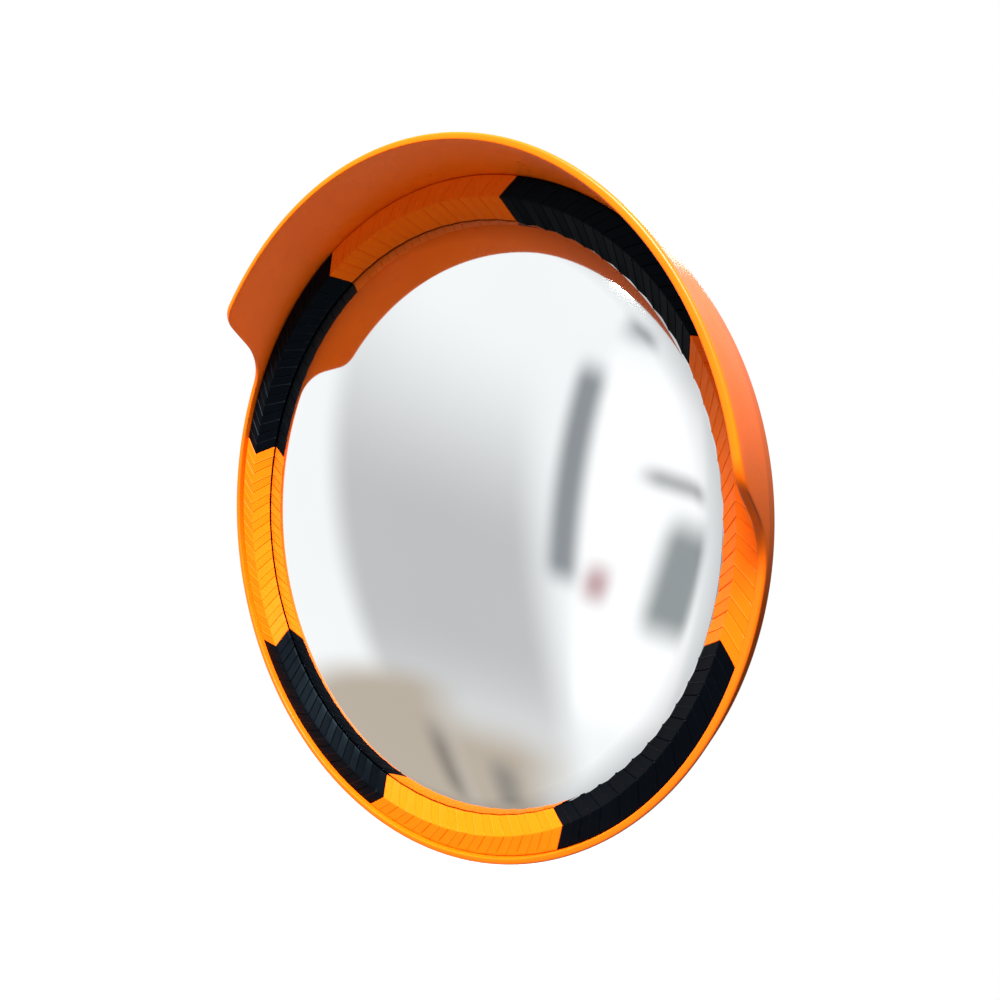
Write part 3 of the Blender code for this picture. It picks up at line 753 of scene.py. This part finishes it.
def bright_zinc():
    """Blue-bright zinc plate with fine turning marks and slight tarnish."""
    paint = Paint("bright_zinc")
    tarnish = paint.ranged(paint.noise(120.0, 5.0, 0.6), 0.42, 0.72, 0.0, 0.8)
    body = paint.mixed(tarnish, (0.66, 0.68, 0.71), (0.50, 0.49, 0.45))
    paint.link(body, paint.shader.inputs["Base Color"])
    marks = paint.noise(500.0, 3.0, 0.6, 0.0, (1.0, 0.15, 1.0))
    paint.link(paint.ranged(marks, 0.3, 0.7, 0.24, 0.40), paint.shader.inputs["Roughness"])
    paint.set(Metallic=1.0)
    paint.bump([(marks, 0.15, 0.05), (paint.noise(1400.0, 2.0), 0.10, 0.03)])
    return paint.material


def cast_iron():
    """Sand-cast body, galvanised: coarse skin, darker hollows."""
    paint = Paint("galvanised_casting")
    skin = paint.noise(330.0, 6.0, 0.65)
    body = paint.mixed(paint.ranged(skin, 0.35, 0.65, 0.0, 1.0),
                       (0.22, 0.23, 0.24), (0.38, 0.39, 0.40))
    paint.link(body, paint.shader.inputs["Base Color"])
    paint.link(paint.ranged(paint.noise(60.0, 4.0), 0.3, 0.7, 0.45, 0.66),
               paint.shader.inputs["Roughness"])
    paint.set(Metallic=0.8)
    paint.bump([(skin, 0.55, 0.45), (paint.noise(1200.0, 3.0), 0.25, 0.12)])
    return paint.material


def rubber():
    paint = Paint("black_seal")
    body = paint.mixed(paint.ranged(paint.noise(90.0, 5.0), 0.4, 0.7, 0.0, 1.0),
                       (0.012, 0.012, 0.013), (0.035, 0.034, 0.033))
    paint.link(body, paint.shader.inputs["Base Color"])
    paint.link(paint.ranged(paint.noise(200.0, 3.0), 0.3, 0.7, 0.70, 0.90),
               paint.shader.inputs["Roughness"])
    paint.bump([(paint.noise(900.0, 3.0), 0.30, 0.15)])
    return paint.material


def floor_paint():
    """Pale matt floor that fades out before its rim."""
    paint = Paint("pale_floor")
    tone = paint.ranged(paint.noise(1.5, 4.0), 0.3, 0.7, 0.0, 1.0)
    paint.link(paint.mixed(tone, (0.95, 0.95, 0.95), (0.92, 0.92, 0.92)),
               paint.shader.inputs["Base Color"])
    paint.set(Roughness=0.9, Specular_IOR_Level=0.1, Emission_Strength=0.5)
    paint.shader.inputs["Emission Color"].default_value = (1.0, 1.0, 1.0, 1.0)
    distance = paint.tree.nodes.new("ShaderNodeVectorMath")
    distance.operation = "LENGTH"
    paint.link(paint.place, distance.inputs[0])
    solid = paint.ranged(distance.outputs["Value"], 1.2, 3.4, 1.0, 0.0)
    paint.link(solid, paint.shader.inputs["Alpha"])
    return paint.material


# --- stage ---------------------------------------------------------------------------

def aimed(item, spot, target):
    item.location = spot
    item.rotation_euler = (Vector(target) - Vector(spot)).to_track_quat("-Z", "Y").to_euler()


def build_camera():
    """A camera beside and above the mirror's axis, rolled as the photograph is."""
    face = Vector((0.0, FACE_Y * MM, 0.0))
    turn, rise, roll = (math.radians(a) for a in (CAMERA_TURN, CAMERA_RISE, CAMERA_ROLL))
    back = Vector((math.sin(turn) * math.cos(rise), -math.cos(turn) * math.cos(rise),
                   math.sin(rise)))
    level = Vector((math.cos(turn), math.sin(turn), 0.0))
    right = level * math.cos(roll) + back.cross(level) * math.sin(roll)
    up = back.cross(right)
    lens = bpy.data.cameras.new("camera")
    lens.lens = CAMERA_LENS_MM
    lens.sensor_width = 36.0
    lens.shift_x, lens.shift_y = CAMERA_SHIFT
    lens.clip_start = 0.01
    camera = bpy.data.objects.new("camera", lens)
    bpy.context.scene.collection.objects.link(camera)
    spot = face + Vector(CAMERA_FROM_FACE)
    camera.matrix_world = Matrix((
        (right.x, up.x, back.x, spot.x),
        (right.y, up.y, back.y, spot.y),
        (right.z, up.z, back.z, spot.z),
        (0.0, 0.0, 0.0, 1.0),
    ))
    bpy.context.scene.camera = camera


def softbox(name, spot, target, side, power, colour=(1.0, 1.0, 1.0)):
    light = bpy.data.lights.new(name, "AREA")
    light.shape = "RECTANGLE"
    light.size = side
    light.size_y = side
    light.energy = power
    light.color = colour
    item = bpy.data.objects.new(name, light)
    bpy.context.scene.collection.objects.link(item)
    aimed(item, spot, target)
    return item


class Sky(NodeTree):
    """The studio around the object, painted by direction in soft patches."""

    def __init__(self, colour):
        world = bpy.data.worlds.new("studio")
        bpy.context.scene.world = world
        world.use_nodes = True
        self.tree = world.node_tree
        self.tree.nodes.clear()
        ray = self.tree.nodes.new("ShaderNodeTexCoord").outputs["Generated"]
        split = self.tree.nodes.new("ShaderNodeSeparateXYZ")
        self.link(ray, split.inputs[0])
        front = self.maths("MULTIPLY", split.outputs["Y"], -1.0)
        radians = self.maths("ARCTAN2", split.outputs["X"], front)
        self.turn = self.maths("MULTIPLY", radians, 180.0 / math.pi)
        radians = self.maths("ARCSINE", split.outputs["Z"], 0.0)
        self.rise = self.maths("MULTIPLY", radians, 180.0 / math.pi)
        rgb = self.tree.nodes.new("ShaderNodeRGB")
        rgb.outputs[0].default_value = (*colour, 1.0)
        self.colour = rgb.outputs[0]

    def patch(self, turn, rise, soft, colour, strength=1.0, lean=0.0):
        """A soft-edged patch; lean shears it, in degrees of turn per degree of rise."""
        across = self.turn
        if lean:
            across = self.maths("ADD", self.turn, self.maths("MULTIPLY", self.rise, lean))
        inside = None
        for value, (low, high), edge in ((across, turn, soft[0]), (self.rise, rise, soft[1])):
            up = self.ranged(value, low - edge, low + edge, 0.0, 1.0, True)
            down = self.ranged(value, high - edge, high + edge, 1.0, 0.0, True)
            window = self.maths("MULTIPLY", up, down)
            inside = window if inside is None else self.maths("MULTIPLY", inside, window)
        cover = self.maths("MULTIPLY", inside, strength)
        self.colour = self.mixed(cover, self.colour, colour)

    def finish(self, fill, shine, backdrop):
        """Surfaces see the patches, more brightly in gloss; the backdrop is even."""
        room = self.tree.nodes.new("ShaderNodeBackground")
        path = self.tree.nodes.new("ShaderNodeLightPath")
        glossy = self.maths("MULTIPLY", path.outputs["Is Glossy Ray"], shine - fill)
        self.link(self.maths("ADD", glossy, fill), room.inputs["Strength"])
        self.link(self.colour, room.inputs["Color"])
        plain = self.tree.nodes.new("ShaderNodeBackground")
        plain.inputs["Color"].default_value = (1.0, 1.0, 1.0, 1.0)
        plain.inputs["Strength"].default_value = backdrop
        mix = self.tree.nodes.new("ShaderNodeMixShader")
        self.link(path.outputs["Is Camera Ray"], mix.inputs[0])
        self.link(room.outputs[0], mix.inputs[1])
        self.link(plain.outputs[0], mix.inputs[2])
        output = self.tree.nodes.new("ShaderNodeOutputWorld")
        self.link(mix.outputs[0], output.inputs["Surface"])


def build_stage():
    sky = Sky((0.97, 0.985, 0.99))
    # behind the object: bright above, dark low down
    for low, high in ((125.0, 400.0), (-400.0, -150.0)):
        sky.patch((low, high), (34.0, 75.0), (25.0, 10.0), (2.2, 2.15, 2.1))
        sky.patch((low, high), (-20.0, 17.0), (25.0, 12.0), (0.30, 0.26, 0.22))
        sky.patch((low, high), (-45.0, 0.0), (25.0, 12.0), (0.035, 0.025, 0.015))
    # a grey wall, a dark post, shelves and a sandy floor in front of the mirror
    sky.patch((-70.0, -18.0), (-46.0, 5.0), (6.0, 18.0), (0.56, 0.56, 0.565), lean=0.38)
    sky.patch((-9.0, 17.0), (-38.0, 26.0), (2.0, 5.0), (1.10, 1.10, 1.10), lean=0.21)
    sky.patch((-14.2, -8.6), (-14.0, 22.0), (2.2, 3.0), (0.17, 0.19, 0.21), 0.85, lean=0.21)
    sky.patch((-4.0, 0.5), (-16.0, -10.0), (2.0, 3.0), (0.40, 0.13, 0.15), 0.7)
    sky.patch((1.0, 14.0), (7.0, 9.5), (3.0, 2.0), (0.22, 0.23, 0.24), 0.85)
    sky.patch((8.0, 17.0), (-18.0, 2.0), (2.5, 4.0), (0.18, 0.21, 0.22), 0.85)
    sky.patch((-14.0, -6.0), (29.0, 33.0), (3.0, 2.5), (0.20, 0.22, 0.24), 0.75)
    sky.patch((-95.0, -36.0), (-75.0, -39.0), (10.0, 3.0), (0.53, 0.46, 0.38))
    sky.patch((-42.0, -6.0), (-75.0, -46.0), (12.0, 5.0), (0.53, 0.46, 0.38))
    sky.patch((-44.0, -38.0), (-60.0, -48.0), (4.0, 4.0), (0.16, 0.14, 0.12), 0.7)
    sky.patch((-25.0, -17.0), (-62.0, -52.0), (4.0, 3.0), (0.22, 0.21, 0.20), 0.7)
    sky.finish(FILL_LIGHT, GLOSS_LIGHT, 1.0)

    # the floor lies as far down as a low-mounted mirror needs, and fades at its rim
    floor_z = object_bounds()[0][2] - FLOOR_DROP
    sides = 96
    ring = [(FLOOR_R * math.cos(2.0 * math.pi * k / sides),
             FLOOR_R * math.sin(2.0 * math.pi * k / sides), floor_z) for k in range(sides)]
    mesh = bpy.data.meshes.new("floor")
    mesh.from_pydata(ring, [], [tuple(range(sides))])
    floor = bpy.data.objects.new("floor", mesh)
    bpy.context.scene.collection.objects.link(floor)
    mesh.materials.append(floor_paint())
    floor.visible_glossy = False
    floor.visible_diffuse = False

    head = Vector((0.0, FACE_Y * MM, 0.0))
    key_spot = head + Vector(KEY_DIRECTION) * KEY_DISTANCE
    softbox("key_softbox", key_spot, head, 1.4, KEY_WATTS, (1.0, 0.985, 0.96))
    softbox("rear_softbox", REAR_SPOT, (0.0, 0.0, 0.0), 1.6, REAR_WATTS)
    low_fill = softbox("low_softbox", LOW_SPOT, head, 2.0, LOW_WATTS)
    low_fill.visible_glossy = False


# --- everything together ---------------------------------------------------------------

def dress_cad_node(name, material, width_mm):
    """Gives a CAD node its material and soft edges."""
    node = frame["nodes"][name]
    node.data.materials.clear()
    node.data.materials.append(material)
    if not width_mm:
        return
    weld = node.modifiers.new("weld", "WELD")
    weld.merge_threshold = 0.00001
    bevel = node.modifiers.new("bevel", "BEVEL")
    bevel.width = width_mm * MM
    bevel.segments = 2
    bevel.limit_method = "ANGLE"
    bevel.angle_limit = math.radians(40.0)
    bevel.harden_normals = True


build_camera()
orange_shell = plastic("orange_shell", (0.90, 0.140, 0.0015), (0.87, 0.128, 0.0015),
                       (0.92, 0.19, 0.02), 0.30, 0.16, 0.05)
orange_segment = plastic("orange_segment", (0.92, 0.148, 0.0015), (0.90, 0.136, 0.0015),
                         (0.93, 0.20, 0.02), 0.42, 0.08, 0.06)
black_segment = plastic("black_segment", (0.0009, 0.0012, 0.0022), (0.0006, 0.0008, 0.0015),
                        (0.006, 0.007, 0.009), 0.34, 0.045, 0.15, (0.50, 0.78, 1.0))
build_housing(orange_shell)
build_segments(orange_segment, black_segment)
build_mirror(mirror_coat())

slots = {row["node"]: row["material_slot"] for row in frame["record"]["subparts"]}
finishes = {
    "zinc_steel": bright_zinc(),
    "galvanised": galvanised(),
    "casting": cast_iron(),
    "seal": rubber(),
}
zinc = finishes["zinc_steel"]
for k in range(1, 5):
    fine_bolt("clamp_bolt_%d" % k, "pole_clamp", "y", False, "M8", zinc)
    fine_nut("clamp_nut_%d" % k, "pole_clamp", "y", "M8", zinc)
    fine_bolt("hub_bolt_%d" % k, "mirror_head", "y", False, "M8", zinc)
    fine_nut("hub_nut_%d" % k, "mirror_head", "y", "M8", zinc)
    fine_washer("hub_washer_%d" % k, "mirror_head", "y", zinc)
for k in range(1, 9):
    fine_screw("edge_screw_%d" % k, zinc)
fine_bolt("tilt_bolt", "mirror_head", "x", False, "M12", zinc)
fine_nut("tilt_nut", "mirror_head", "x", "M12", zinc)
fine_washer("tilt_washer_left", "mirror_head", "x", zinc)
fine_washer("tilt_washer_right", "mirror_head", "x", zinc)
fine_bolt("pan_bolt", "pole_clamp", "z", True, "M12", zinc)
fine_nut("pan_nut", "pole_clamp", "z", "M12", zinc)
fine_washer("pan_washer_top", "pole_clamp", "z", zinc)
fine_washer("pan_washer_bottom", "pole_clamp", "z", zinc)
cast_copy("swivel_knuckle", finishes["casting"])
soft_edges = {"clamp_saddle": 0.7, "clamp_strap": 0.7, "tilt_bracket": 0.7}
for node_name, slot_name in slots.items():
    if slot_name in finishes:
        dress_cad_node(node_name, finishes[slot_name], soft_edges.get(node_name, 0.0))

build_stage()
bpy.context.scene.view_settings.view_transform = "Standard"
